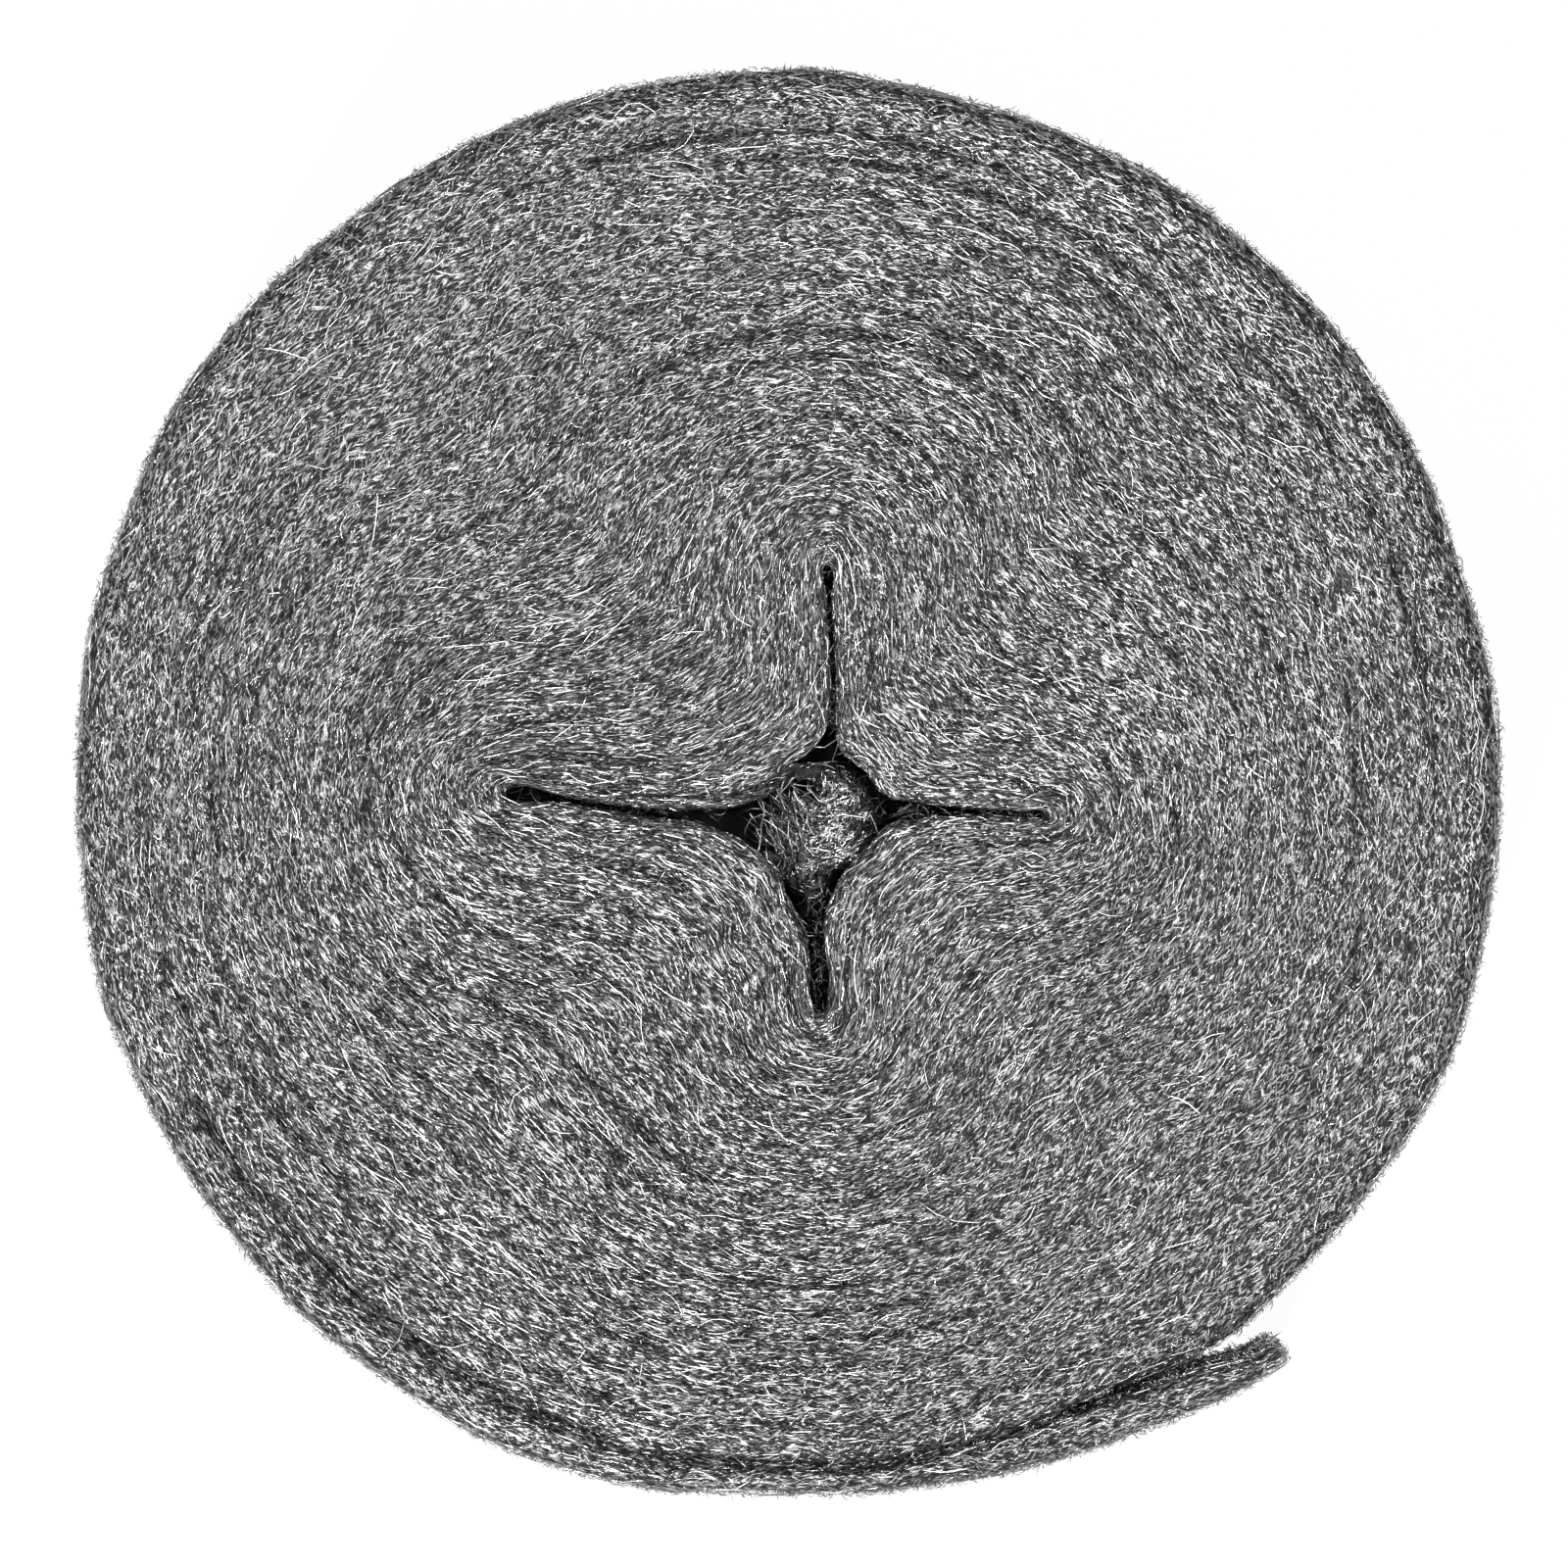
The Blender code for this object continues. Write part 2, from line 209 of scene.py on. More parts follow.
def outside(angle):
    """Plan of the outside: a circle with a slight flare and a few slow waves."""
    toward = np.clip(np.cos(angle - math.radians(FLARE_ANGLE)), 0.0, None)
    radius = ROLL_RADIUS + FLARE * toward ** 8
    for times, height, phase in OUTLINE_WAVES:
        radius = radius + height * np.sin(times * angle + phase)
    return radius * np.exp(1j * angle)


def winding_field():
    """Share of the way from the star to the outside, for each angle and level. A point's
    level is its distance from the star over its distances from the star and the outside."""
    angles = np.arange(FIELD_ANGLES) * 2.0 * math.pi / FIELD_ANGLES
    steps = np.linspace(0.0, 1.0, FIELD_STEPS)
    wall, rim = star_wall(angles), outside(angles)
    lines = wall[:, None] + (rim - wall)[:, None] * steps
    from_star = np.abs(lines[:, :, None] - wall).min(axis=2)
    from_rim = np.clip(ROLL_RADIUS - np.abs(lines), 0.0, None)
    level = from_star / (from_star + from_rim + 1e-12)
    level[:, -1] = 1.0
    level = np.maximum.accumulate(level, axis=1)
    share = np.array([np.interp(steps, row, steps) for row in level])
    waves = np.fft.fftfreq(FIELD_ANGLES, 1.0 / FIELD_ANGLES)
    damping = np.exp(-0.5 * (waves * math.radians(FIELD_SMOOTHING)) ** 2)
    return np.fft.ifft(np.fft.fft(share, axis=0) * damping[:, None], axis=0).real


FIELD = winding_field()


def place(angle, level):
    """Plan position on a level line, from the field by straight interpolation both ways."""
    turn = (angle / (2.0 * math.pi) % 1.0) * FIELD_ANGLES
    column = np.floor(turn).astype(int)
    row = np.clip(level, 0.0, 1.0) * (FIELD_STEPS - 1)
    step = np.minimum(np.floor(row).astype(int), FIELD_STEPS - 2)
    turn, row = turn - column, row - step
    here, there = column % FIELD_ANGLES, (column + 1) % FIELD_ANGLES
    share = (1.0 - turn) * ((1.0 - row) * FIELD[here, step] + row * FIELD[here, step + 1])
    share = share + turn * ((1.0 - row) * FIELD[there, step] + row * FIELD[there, step + 1])
    wall = star_wall(angle)
    return wall + (outside(angle) - wall) * share


def pitches_below_rim(back):
    """Pitches between a turn's outer line and level 1, by the degrees back from the tip."""
    under = 360.0 - (FLAP_TIP - FLAP_ROOT) / 20.0
    past = back - under - BACK_EVEN
    step = BACK_STEP * smooth_step((back - under) / BACK_STEP_SPAN)
    slack = BACK_SLACK * smooth_step(past / BACK_SLACK_SPAN)
    return step + slack + np.clip(past, 0.0, None) / 360.0


PITCH = 1.0 / (pitches_below_rim(np.array([LAST_RUN]))[0] + START_THICKNESS)


def turn_line(run):
    """Plan of the ribbon's outer line: its level line, with the swell and lift of its end."""
    nook = PITCH * START_THICKNESS * smooth_step(1.0 + run / NOOK_SPAN)
    level = np.where(run < 0.0, nook, 1.0 - PITCH * pitches_below_rim(LAST_RUN - run))
    angle = np.radians(run + START_ANGLE)
    back = LAST_RUN - run
    swell = BULGE * np.exp(-((back - BULGE_BACK) / BULGE_SPAN) ** 2)
    lift = FLAP_LIFT * np.clip(1.0 - back / LIFT_START, 0.0, None) ** LIFT_POWER
    return place(angle, level) + (swell + lift) * np.exp(1j * angle)


def ribbon_edges(run):
    """Inner and outer plan lines of the ribbon by the degrees run, the loose flap too."""
    inner, outer = turn_line(run - 360.0), turn_line(run)
    share = (run - LAST_WOUND) / (LAST_RUN - LAST_WOUND)
    root = FLAP_ROOT_SHARE * FLAP_THICKNESS
    thick = root + (FLAP_THICKNESS - root) * smooth_step(share * 2.0)
    thick = thick - (FLAP_THICKNESS - FLAP_TIP_THICKNESS) * smooth_step((share - 0.7) / 0.3)
    loose = outer - thick * np.exp(1j * np.radians(run + START_ANGLE))
    return np.where(share > 1e-9, loose, inner), outer


def groove(run, seed):
    """Depth of the line between two turns: shallow, deeper in stretches, and gaping at the
    seams that show as dark lines."""
    depth = GROOVE_DEPTH + GROOVE_EXTRA * noise(run / GROOVE_STRETCH, 0.0 * run, seed) ** 3
    back = LAST_RUN - run
    for below, first, last, gap in SEAMS:
        turns = np.abs(pitches_below_rim(back) - below)
        angle = (run + START_ANGLE - first) % 360.0
        stretch = smooth_step(angle / SEAM_FADE) * smooth_step((last - first - angle) / SEAM_FADE)
        depth = depth + gap * stretch * (turns < 0.5)
    depth = np.where(back < 360.0 + FLAP_TIP - FLAP_ROOT, RIM_EDGE_DROP, depth)
    return np.where(run < 0.0, SLIT_EDGE_DROP, depth)


LENGTH_STEPS = np.arange(-370.0, LAST_RUN + 10.0, 2.0)
LENGTHS = np.concatenate([[0.0], np.cumsum(np.abs(np.diff(turn_line(LENGTH_STEPS))))])


def ribbon_length(run):
    """Length of ribbon wound up to a run, added up along its outer line."""
    return np.interp(run, LENGTH_STEPS, LENGTHS)


def end_drop(run, across, seed):
    """Depth of an end face below its plane: round grooves along both lines of the turn, low
    clumps drawn out along the ribbon, and the climb out of the star at its start."""
    low = np.clip(1.0 - across / 0.5, 0.0, None) ** 3
    high = np.clip(across / 0.5 - 1.0, 0.0, None) ** 3
    inner = np.where(run > LAST_WOUND, FLAP_EDGE_DROP, groove(run - 360.0, seed))
    drop = inner * low + groove(run, seed) * high
    length = ribbon_length(run)
    clump = noise(length / CLUMP_LENGTH, (run / 360.0 + across) * CLUMP_ROWS, seed + 1)
    fine = noise(length / FINE_LENGTH, (run / 360.0 + across) * FINE_ROWS, seed + 2)
    drop = drop + LUMPS * (clump + 0.6 * fine) * (1.0 - low - high)
    entry = (length - ribbon_length(0.0)) / ENTRY_LENGTH
    return drop + TUFT[-1][2] * (1.0 - smooth_step(entry)) * (1.0 - high) * (run < 360.0)


def on_ribbon(run, across, top):
    """Plan and height of an end face by the degrees run and the share across the ribbon. A
    share below 0 or above 1 goes on into the neighbouring turn, but not over to the flap."""
    shift = np.floor(across)
    there = run + 360.0 * shift
    shift = np.where((there < 0.0) | (np.maximum(run, there) > LAST_WOUND), 0.0, shift)
    run = np.clip(run + 360.0 * shift, 0.0, LAST_RUN)
    across = np.clip(across - shift, 0.0, 1.0)
    inner, outer = ribbon_edges(run)
    plan = inner + (outer - inner) * across
    seed = 11 if top else 31
    drop = end_drop(run, across, seed)
    drop = drop + SAG * noise(plan.real / SAG_SIZE + 40.0, plan.imag / SAG_SIZE + 40.0, seed + 5)
    return plan, roll_high[2] - drop if top else roll_low[2] + drop


def tuft_curve(t):
    """Plan, half width and depth of the bunched start by the share t from its free end to
    the wall of the star: a smooth curve through the chosen points."""
    knots = np.array([[p.real, p.imag, half, depth] for p, half, depth in TUFT])
    last = len(knots) - 1
    padded = np.vstack([2.0 * knots[0] - knots[1], knots, 2.0 * knots[-1] - knots[-2]])
    t = np.clip(t, 0.0, 1.0) * last
    k = np.minimum(t.astype(int), last - 1)
    f = (t - k)[..., None]
    p0, p1, p2, p3 = (padded[k + i] for i in range(4))
    curve = 0.5 * (2.0 * p1 + (p2 - p0) * f + (2.0 * p0 - 5.0 * p1 + 4.0 * p2 - p3) * f ** 2
                   + (3.0 * p1 - p0 - 3.0 * p2 + p3) * f ** 3)
    return STAR_CENTRE + curve[..., 0] + 1j * curve[..., 1], curve[..., 2], curve[..., 3]


def on_tuft(t, across, top):
    """Plan and height of the tuft's top or underside by the share along and across it. Shares
    across may go a little past its sides, for strands that stand off them."""
    middle, half, depth = tuft_curve(t)
    t = np.clip(t, 0.01, 0.99)
    ahead = tuft_curve(t + 0.01)[0] - tuft_curve(t - 0.01)[0]
    across = np.clip(across, -0.3, 1.3)
    plan = middle + 1j * ahead / np.abs(ahead) * half * (1.0 - 2.0 * across)
    lumps = noise(plan.real / TUFT_LUMP + 90.0, plan.imag / TUFT_LUMP + 90.0, 11 if top else 31)
    depth = depth + TUFT_CROWN * (np.abs(2.0 * across - 1.0) ** 2 + lumps)
    return plan, roll_high[2] - depth if top else roll_low[2] + depth


def quads(ids):
    """Corners of the faces between neighbouring rows and columns of a grid."""
    return np.stack([ids[:-1, :-1], ids[:-1, 1:], ids[1:, 1:], ids[1:, :-1]], axis=-1)


def column_runs():
    """Degrees run at every column, from one turn before the start to the flap's root. The
    columns of a quarter turn crowd towards the lobes, where the star's wall turns sharply."""
    q = np.linspace(-1.0, 1.0, QUARTER_COLUMNS + 1)[:-1]
    quarter = 45.0 * ((1.0 - CORNER_CROWDING) * q + CORNER_CROWDING * np.sin(0.5 * math.pi * q))
    turns = (quarter + 90.0 * np.arange(-4, 4 * WHOLE_TURNS + 4)[:, None]).ravel()
    runs = turns - START_ANGLE
    return runs[(runs > -360.001) & (runs < LAST_WOUND + 0.001)]


def mapped_mesh(name, verts, faces, map_name, corners):
    """A smooth mesh with one map, which gives a place for each corner of each face."""
    mesh = bpy.data.meshes.new(name)
    mesh.from_pydata(verts.tolist(), [], faces)
    layer = mesh.uv_layers.new(name=map_name)
    layer.uv.foreach_set("vector", corners.astype(np.float32).ravel())
    mesh.polygons.foreach_set("use_smooth", np.ones(len(mesh.polygons), bool))
    mesh.update()
    return mesh


def skin_lumps(length, rise, low, high, share, seed, outward):
    """How far an upright wall stands off its plan line: clumps of two sizes that fade out at
    both ends, and on the outside also what is frayed near them."""
    lumps = noise(length / SKIN_FINE[0], rise / SKIN_FINE[1], seed)
    lumps = lumps + 0.7 * noise(length / SKIN_COARSE[0], rise / SKIN_COARSE[1], seed + 1) - 0.8
    tall = SKIN_LUMPS * (1.0 if outward else WALL_SHARE)
    lumps = lumps * tall * np.sin(math.pi * share) ** 0.3
    if outward:
        near_end = np.minimum(high - rise, rise - low)
        frayed = noise(length / FRAYED_SIZE[0], rise / FRAYED_SIZE[1], seed + 2) ** 2
        lumps = lumps + FRAYING * frayed * np.exp(-near_end / FRAYED_DEPTH)
    return lumps


def wound_mesh(name):
    """The whole ribbon as one closed mesh: the strip of turns over both ends, then the wall
    of the star and the outside between the ends, as grids of height against the way round.
    Also the rings of both: plan, direction off the wall, length so far, low and high ends."""
    runs = column_runs()
    around = 4 * QUARTER_COLUMNS
    count = len(runs) - around
    flap_runs = np.linspace(LAST_WOUND, LAST_RUN, FLAP_COLUMNS + 1)[1:]
    strip_runs = np.concatenate([runs[around:], flap_runs])
    inner_rows = len(ACROSS) - 2
    line_ids = np.arange(len(runs))
    wound_ids = np.empty((count, len(ACROSS)), int)
    wound_ids[:, 0], wound_ids[:, -1] = line_ids[:count], line_ids[around:]
    wound_ids[:, 1:-1] = len(runs) + np.arange(count * inner_rows).reshape(count, -1)
    tuft_ids = wound_ids.max() + 1 + np.arange(TUFT_COLUMNS * len(ACROSS)).reshape(TUFT_COLUMNS, -1)
    flap_ids = tuft_ids.max() + 1 + np.arange(FLAP_COLUMNS * len(ACROSS)).reshape(FLAP_COLUMNS, -1)
    strip = np.vstack([tuft_ids, wound_ids, flap_ids])
    points = flap_ids.max() + 1

    tuft_t = np.linspace(0.0, 1.0, TUFT_COLUMNS)
    verts = np.empty((2 * points, 3))
    for base, top in ((0, True), (points, False)):
        plan, height = np.empty(points, complex), np.empty(points)
        wound_plan, wound_height = on_ribbon(strip_runs[:, None], ACROSS * WITHIN, top)
        tuft_plan, tuft_height = on_tuft(tuft_t[:, None] + 0.0 * ACROSS, ACROSS, top)
        plan[np.vstack([wound_ids, flap_ids])] = wound_plan
        height[np.vstack([wound_ids, flap_ids])] = wound_height
        plan[tuft_ids], height[tuft_ids] = tuft_plan, tuft_height
        plan[:len(runs)] = turn_line(runs)
        height[:around] = on_ribbon(runs[around:2 * around], np.zeros(around), top)[1]
        verts[base:base + points] = np.column_stack([plan.real, plan.imag, height])
    plan = verts[:points, 0] + 1j * verts[:points, 1]

    inner, outer = ribbon_edges(strip_runs)
    tuft_middle, tuft_half = tuft_curve(tuft_t)[:2]
    tuft_length = np.cumsum(np.abs(np.diff(tuft_middle, prepend=tuft_middle[:1])))
    along = np.concatenate([tuft_length - tuft_length[-1], ribbon_length(strip_runs)])
    wide = np.concatenate([2.0 * tuft_half, np.abs(outer - inner)])
    turned = np.concatenate([np.zeros(TUFT_COLUMNS), strip_runs / 360.0])
    along = along[:, None] + 0.0 * ACROSS
    over = TURN_STEP * turned[:, None] + wide[:, None] * ACROSS
    faces = [quads(strip).reshape(-1, 4), (quads(strip) + points).reshape(-1, 4)[:, ::-1]]
    strip_uv = np.stack([quads(along), quads(over)], axis=-1).reshape(-1, 4, 2)
    uvs = [strip_uv, strip_uv[:, ::-1]]

    star_loop = np.concatenate([
        np.arange(around + 1), tuft_ids[::-1, -1], tuft_ids[0, -2:0:-1], tuft_ids[:, 0]])
    skin_loop = np.concatenate([
        np.arange(count - 1, len(runs)), flap_ids[:, -1], flap_ids[-1, -2:0:-1],
        flap_ids[::-1, 0]])
    rings = {}
    for loop, outward, seed, rows in (
            (star_loop, False, 51, WALL_ROWS), (skin_loop, True, 61, SKIN_ROWS)):
        ring = plan[loop]
        ahead = np.roll(ring, -1) - np.roll(ring, 1)
        side = -1j * ahead / np.maximum(np.abs(ahead), 1e-9)
        length = np.concatenate([[0.0], np.cumsum(np.abs(np.diff(np.append(ring, ring[0]))))])
        share = np.linspace(0.0, 1.0, rows + 1)[1:-1]
        low, high = verts[loop + points, 2], verts[loop, 2]
        rise = low[:, None] + (high - low)[:, None] * share
        lumps = skin_lumps(
            length[:-1, None], rise, low[:, None], high[:, None], share, seed, outward)
        moved = ring[:, None] + side[:, None] * lumps
        start = len(verts)
        verts = np.vstack([verts, np.stack([moved.real, moved.imag, rise], -1).reshape(-1, 3)])
        inner_ids = start + np.arange(moved.size).reshape(moved.shape)
        ids = np.column_stack([loop + points, inner_ids, loop])
        ids = np.vstack([ids, ids[:1]])
        wall_z = np.column_stack([low, rise, high])
        wall_z = np.vstack([wall_z, wall_z[:1]])
        wall_u = length[:, None] + 0.0 * wall_z
        corners = [quads(grid)[..., [0, 3, 2, 1]] for grid in (ids, wall_u, wall_z)]
        face, uv = corners[0].reshape(-1, 4), np.stack(corners[1:], axis=-1).reshape(-1, 4, 2)
        faces.append(face if outward else face[:, ::-1])
        uvs.append(uv if outward else uv[:, ::-1])
        rings[outward] = (ring, side if outward else -side, length, low, high)
    return mapped_mesh(name, verts, np.vstack(faces).tolist(), "ribbon", np.vstack(uvs)), rings


class Node:
    """Wraps a shader socket, so that sums of values are written as plain expressions."""

    def __init__(self, tree, socket):
        self.tree, self.socket = tree, socket

    def node(self, kind, settings, inputs, output=0):
        """Add any node: its type, its own settings first, then the sockets' values or links."""
        made = self.tree.nodes.new(kind)
        for key, value in settings.items():
            setattr(made, key, value)
        for key, value in inputs.items():
            if isinstance(value, Node):
                self.tree.links.new(value.socket, made.inputs[key])
            else:
                made.inputs[key].default_value = value
        return Node(self.tree, made.outputs[output])

    def math(self, operation, *values):
        return self.node("ShaderNodeMath", {"operation": operation}, dict(enumerate(values)))

    def __add__(self, other):
        return self.math("ADD", self, other)

    def __radd__(self, other):
        return self.math("ADD", other, self)

    def __sub__(self, other):
        return self.math("SUBTRACT", self, other)

    def __rsub__(self, other):
        return self.math("SUBTRACT", other, self)

    def __mul__(self, other):
        return self.math("MULTIPLY", self, other)

    def __rmul__(self, other):
        return self.math("MULTIPLY", other, self)

    def __truediv__(self, other):
        return self.math("DIVIDE", self, other)

    def between(self, low, high):
        """0 below low, 1 above high and a smooth rise between."""
        inputs = {"Value": self, "From Min": low, "From Max": high}
        return self.node("ShaderNodeMapRange", {"interpolation_type": "SMOOTHSTEP"}, inputs)

    def mix(self, low, high):
        """A grey from low to high by this value."""
        inputs = {0: self, 6: grey(low), 7: grey(high)}
        return self.node("ShaderNodeMix", {"data_type": "RGBA"}, inputs, 2)

    def into(self, shader, name):
        """Link this value to a named input of a shader."""
        self.tree.links.new(self.socket, shader.inputs[name])


def grey(tone):
    """An opaque grey."""
    return (tone, tone, tone, 1.0)


def new_material(name):
    """An empty material, with its node tree and its shader."""
    material = bpy.data.materials.new(name)
    material.use_nodes = True
    return material, material.node_tree, material.node_tree.nodes["Principled BSDF"]


def map_values(tree, map_name):
    """The two values of a mesh's map."""
    place_on_map = tree.nodes.new("ShaderNodeUVMap")
    place_on_map.uv_map = map_name
    parts = tree.nodes.new("ShaderNodeSeparateXYZ")
    tree.links.new(place_on_map.outputs[0], parts.inputs[0])
    return Node(tree, parts.outputs[0]), Node(tree, parts.outputs[1])


def flat_noise(u, v, detail):
    """Two-dimensional noise, from 0 to 1 and mostly near the middle."""
    vector = u.node("ShaderNodeCombineXYZ", {}, {0: u, 1: v})
    inputs = {"Vector": vector, "Scale": 1.0, "Detail": detail}
    return u.node("ShaderNodeTexNoise", {"noise_dimensions": "2D"}, inputs)


def strands_of(u, v, angle, length, width, seed):
    """Brightness of a layer of fine strands: noise drawn out to the strand's length along a
    direction and squeezed to its width across, with the direction wandering slowly."""
    wander = flat_noise(u / 3.7 + seed, v / 2.9, 1.0)
    turned = v + (wander - 0.5) * 1.4
    cosine, sine = math.cos(math.radians(angle)), math.sin(math.radians(angle))
    along = (u * cosine + turned * sine) / length
    across = (turned * cosine - u * sine) / width
    return flat_noise(along, across + seed * 7.3, 1.0)


def mat_of_steel(name):
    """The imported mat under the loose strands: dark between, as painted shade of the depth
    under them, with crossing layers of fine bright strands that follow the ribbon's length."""
    material, tree, shader = new_material(name)
    u, v = (value * 1000.0 for value in map_values(tree, "ribbon"))
    first, second, third = (strands_of(u, v, *layer) for layer in MAT_STRANDS)
    layers = u.math("MAXIMUM", first, u.math("MAXIMUM", second, third))
    bright = layers.between(0.57, 0.68)
    clumps = flat_noise(u / MAT_CLUMP[0], v / MAT_CLUMP[1], 2.0)
    shade = bright * (0.35 + 1.0 * clumps)
    # painted shade: the mat is dark except for its fine strands
    shade.mix(MAT_PAINTED_SHADE, MAT_BRIGHT).into(shader, "Base Color")
    (0.60 - 0.22 * bright).into(shader, "Roughness")
    shader.inputs["Metallic"].default_value = 0.85
    bump = {"Height": layers, "Strength": 0.9, "Distance": 0.00025}
    u.node("ShaderNodeBump", {}, bump).into(shader, "Normal")
    return material


ribbon_mesh, ribbon_rings = wound_mesh("wound_ribbon")
ribbon = bpy.data.objects.new("wound_ribbon", ribbon_mesh)
bpy.context.scene.collection.objects.link(ribbon)
ribbon.data.materials.append(mat_of_steel("packed_steel_mat"))
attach(ribbon, "root")
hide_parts("wool_roll")


# The loose strands of the end faces. Where the ribbon shows its edge it is all strand ends,
# bends and loops, in four layers: long dull ones between the others, fine and short ones of
# every tone, and longer bright ones on top. Each is a thin spindle laid along the turns. The
# lowest layer's dull tone is painted shade, and the top layer's bright share is painted light.

MM = 0.001                    # the sizes of strands are given in millimetres

# painted shade and light: the lowest layer is kept dull and the highest mostly bright
UPPER_LAYERS = {              # strands, stations, length, thickness, lift, bright share, dull tone
    "fine": (24000, 3, 0.62, 0.110, 0.08, 0.30, 0.11),
    "middle": (24000, 3, 1.15, 0.125, 0.0, 0.05, 0.12),
    "short": (31000, 3, 0.80, 0.115, 0.12, 0.30, 0.11),
    "top": (7000, 4, 1.40, 0.14, 0.18, 0.85, 0.25),
}
LOWER_LAYERS = {
    "lower": (9000, 3, 1.6, 0.17, 0.06, 0.40, 0.15),
}
STRAY_SHARE, STRAY_MORE = 0.03, 0.12               # lie astray, and how many more where tangled
STRAY_TURN, STRAY_BEND = 0.8, 2.5                  # radians, and times the usual bend
TURN_SPREAD, TURN_MORE = 0.08, 0.24                # radians of the rest, and more where tangled
LENGTH_SPREAD = 0.42
STRAIGHT_LENGTH, TANGLED_LESS = 1.8, 1.5           # times the length, and less where tangled
SHORTEST, LONGEST = 0.4, 4.5
BEND_SPREAD, TILT_SPREAD = 0.12, 0.10
LIFT_RANGE = (-0.07, 0.12)
EDGE_WIDTH, EDGE_FADE = 0.0035, 0.0025             # metres in from the outside
# painted shade: strands near the outside take a darker tone, where the end face rounds over
EDGE_SHORTER, EDGE_PAINTED_SHADE = 0.35, 0.10
LINE_PAINTED_SHADE = 0.12                                 # painted shade on strands beside the lines between two turns
BRIGHT_TONE, DULL_SPREAD = (0.88, 0.15), 0.05


def spindles(name, path, radius, tone):
    """Closed tapered strands. path is strands x stations x 3; the first and last stations are
    points and those between are three-sided rings across the path. The map holds a place
    along the strand and its tone."""
    count, stations = path.shape[:2]
    ahead = np.gradient(path, axis=1)
    ahead = ahead / np.linalg.norm(ahead, axis=2, keepdims=True)
    aside = np.cross(ahead, np.broadcast_to([0.0, 0.0, 1.0], path.shape))
    upright = np.linalg.norm(aside, axis=2, keepdims=True) < 0.05
    aside = np.where(upright, np.cross(ahead, np.broadcast_to([1.0, 0.0, 0.0], path.shape)), aside)
    aside = aside / np.linalg.norm(aside, axis=2, keepdims=True)
    upward = np.cross(aside, ahead)
    taper = np.sin(math.pi * (np.arange(stations) + 0.6) / (stations + 0.2)) ** 0.6
    corner = np.radians([90.0, 210.0, 330.0])
    wide = radius[:, None] * taper
    rings = path[:, :, None] + wide[:, :, None, None] * (
        np.cos(corner)[:, None] * aside[:, :, None] + np.sin(corner)[:, None] * upward[:, :, None])
    verts = np.concatenate([
        path[:, :1], rings[:, 1:-1].reshape(count, -1, 3), path[:, -1:]], axis=1)
    each = verts.shape[1]
    tri, quad = [], []
    for side in range(3):
        after = (side + 1) % 3
        tri.append((0, 1 + side, 1 + after))
        tri.append((each - 1, each - 4 + after, each - 4 + side))
        for ring in range(stations - 3):
            near, far = 1 + 3 * ring, 4 + 3 * ring
            quad.append((near + side, far + side, far + after, near + after))
    base = each * np.arange(count)[:, None, None]
    tri = (np.array(tri) + base).reshape(-1, 3)
    quad = (np.array(quad, int).reshape(-1, 4) + base).reshape(-1, 4)
    around = np.concatenate([[1.0], np.tile([0.0, 1.0, 2.0], stations - 2), [1.0]])
    along = np.concatenate([[0.0], np.repeat(np.arange(1, stations - 1), 3), [stations - 1.0]])
    spot = np.arange(count) * 0.6180339887 % 1.0
    u = 0.02 + 0.9 * spot[:, None] + 0.06 * along / (stations - 1.0)
    v = 0.02 + 0.95 * np.clip(tone, 0.0, 1.0)[:, None] + 0.004 * around
    uv = np.stack([u, v], axis=-1).reshape(-1, 2)
    corners = uv[np.concatenate([tri.ravel(), quad.ravel()])]
    faces = tri.tolist() + quad.tolist()
    return mapped_mesh(name, verts.reshape(-1, 3), faces, "OFBake", corners)


def strand_metal(name):
    """Drawn steel strands: each at its own tone, from dark to bright, with slightly duller
    stretches along it. The tone partly differs at random from strand to strand and is partly
    painted: painted shade on the dark strands and painted glints on the bright ones."""
    material, tree, shader = new_material(name)
    u, tone = map_values(tree, "OFBake")
    dull = flat_noise(u * 45.0, tone * 60.0, 1.0)
    # the tone is partly painted shade and painted glints
    shade = (tone - 0.02) * (0.75 + 0.5 * dull)
    shade.mix(0.02, 0.96).into(shader, "Base Color")
    (0.42 - 0.16 * tone).into(shader, "Roughness")
    shader.inputs["Metallic"].default_value = 1.0
    return material


STRAND_METAL = strand_metal("steel_strands")


def add_strands(name, path, radius, tone):
    """Make strands into a piece that rides with the roll."""
    piece = bpy.data.objects.new(name, spindles(name, path, radius, tone))
    bpy.context.scene.collection.objects.link(piece)
    piece.data.materials.append(STRAND_METAL)
    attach(piece, "root")


def laid(surface, u, v, steps, turned, length, bend, lift, tilt, stations):
    """Paths laid over a surface of two parameters. Each goes length long through its point,
    turned from the direction in which u grows, and bends by its own arc. Its plan steps are
    turned into steps of u and v by the surface's own slopes, so it follows the surface."""
    du, dv, widest = steps
    by_u = (surface(u + du, v)[0] - surface(u - du, v)[0]) / (2.0 * du)
    by_v = (surface(u, v + dv)[0] - surface(u, v - dv)[0]) / (2.0 * dv)
    area = (by_u.conjugate() * by_v).imag
    area = np.where(np.abs(area) < 1e-12, 1e-12, area)
    reach = by_u / np.abs(by_u) * np.exp(1j * turned) * length * 0.5
    t = np.linspace(-1.0, 1.0, stations)
    grown_u, grown_v = u[:, None] + 0.0 * t, v[:, None] + 0.0 * t
    for part, along in ((reach, t), (1j * reach * bend, t ** 2 - 0.33)):
        step_u = np.clip((part.conjugate() * by_v).imag / area, -widest, widest)
        step_v = (by_u.conjugate() * part).imag / area
        grown_u = grown_u + step_u[:, None] * along
        grown_v = grown_v + step_v[:, None] * along
    plan, height = surface(grown_u, grown_v)
    rise = lift[:, None] + 0.5 * (tilt * length)[:, None] * t - 0.0001 * t ** 2
    return plan, height, rise


